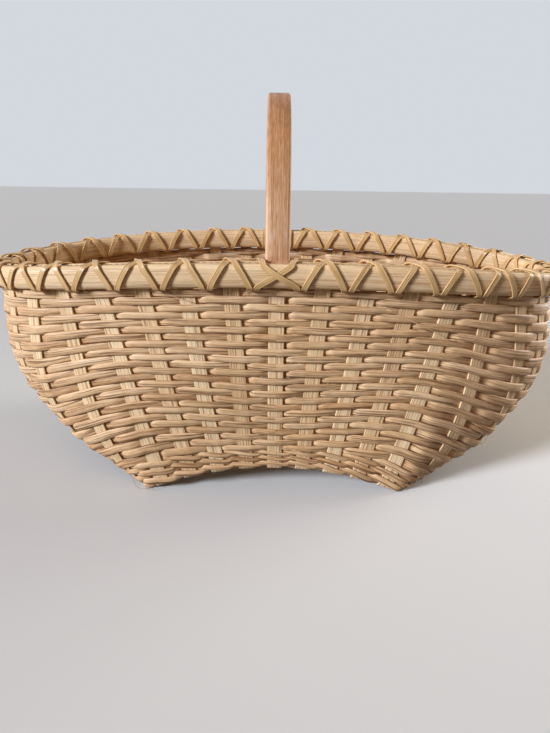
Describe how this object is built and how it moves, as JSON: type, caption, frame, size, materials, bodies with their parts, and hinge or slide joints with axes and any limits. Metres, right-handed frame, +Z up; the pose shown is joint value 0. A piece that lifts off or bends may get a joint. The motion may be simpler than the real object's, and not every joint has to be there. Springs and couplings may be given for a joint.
{
  "type": "woven cathead basket",
  "caption": "Open splint basket with a square arched base on pointed feet, flaring walls of woven reed, a laced oval rim and a fixed hoop handle for carrying",
  "frame": {"origin": "on the floor under the middle of the basket", "axes": "+X along the length of the oval, to the right as seen from the front; +Y to the back, in the plane of the hoop handle; +Z up"},
  "size_m": [0.5386, 0.243, 0.3324],
  "materials": {
    "stake_reed": "bare flat reed with fine lengthwise grain",
    "weaver_reed": "bare flat oval reed, slightly pink, rounded side out",
    "rim_reed": "bare flat oval reed, grain along the rim",
    "filler_cord": "twisted grass cord",
    "handle_wood": "bent hardwood strip, rubbed smooth",
    "lacing_cane": "glossy cane with raised edges"
  },
  "bodies": {
    "root": {"cross_stake_01": "stake_reed", "cross_stake_02": "stake_reed", "cross_stake_03": "stake_reed", "cross_stake_04": "stake_reed", "cross_stake_05": "stake_reed", "cross_stake_06": "stake_reed", "cross_stake_07": "stake_reed", "cross_stake_08": "stake_reed", "cross_stake_09": "stake_reed", "long_stake_01": "stake_reed", "long_stake_02": "stake_reed", "long_stake_03": "stake_reed", "long_stake_04": "stake_reed", "long_stake_05": "stake_reed", "long_stake_06": "stake_reed", "long_stake_07": "stake_reed", "long_stake_08": "stake_reed", "long_stake_09": "stake_reed", "weaver_row_01": "weaver_reed", "weaver_row_02": "weaver_reed", "weaver_row_03": "weaver_reed", "weaver_row_04": "weaver_reed", "weaver_row_05": "weaver_reed", "weaver_row_06": "weaver_reed", "weaver_row_07": "weaver_reed", "weaver_row_08": "weaver_reed", "weaver_row_09": "weaver_reed", "weaver_row_10": "weaver_reed", "weaver_row_11": "weaver_reed", "weaver_row_12": "weaver_reed", "weaver_row_13": "weaver_reed", "weaver_row_14": "weaver_reed", "weaver_row_15": "weaver_reed", "weaver_row_16": "weaver_reed", "weaver_row_17": "weaver_reed", "weaver_row_18": "weaver_reed", "weaver_row_19": "weaver_reed", "weaver_row_20": "weaver_reed", "weaver_row_21": "weaver_reed", "weaver_row_22": "weaver_reed", "weaver_row_23": "weaver_reed", "weaver_row_24": "weaver_reed", "weaver_row_25": "weaver_reed", "weaver_row_26": "weaver_reed", "weaver_row_27": "weaver_reed", "rim_row": "stake_reed", "outer_rim": "rim_reed", "inner_rim": "rim_reed", "rim_filler_right": "filler_cord", "rim_filler_left": "filler_cord", "hoop_handle": "handle_wood", "lacing_rising": "lacing_cane", "lacing_falling": "lacing_cane"}
  },
  "joints": []
}
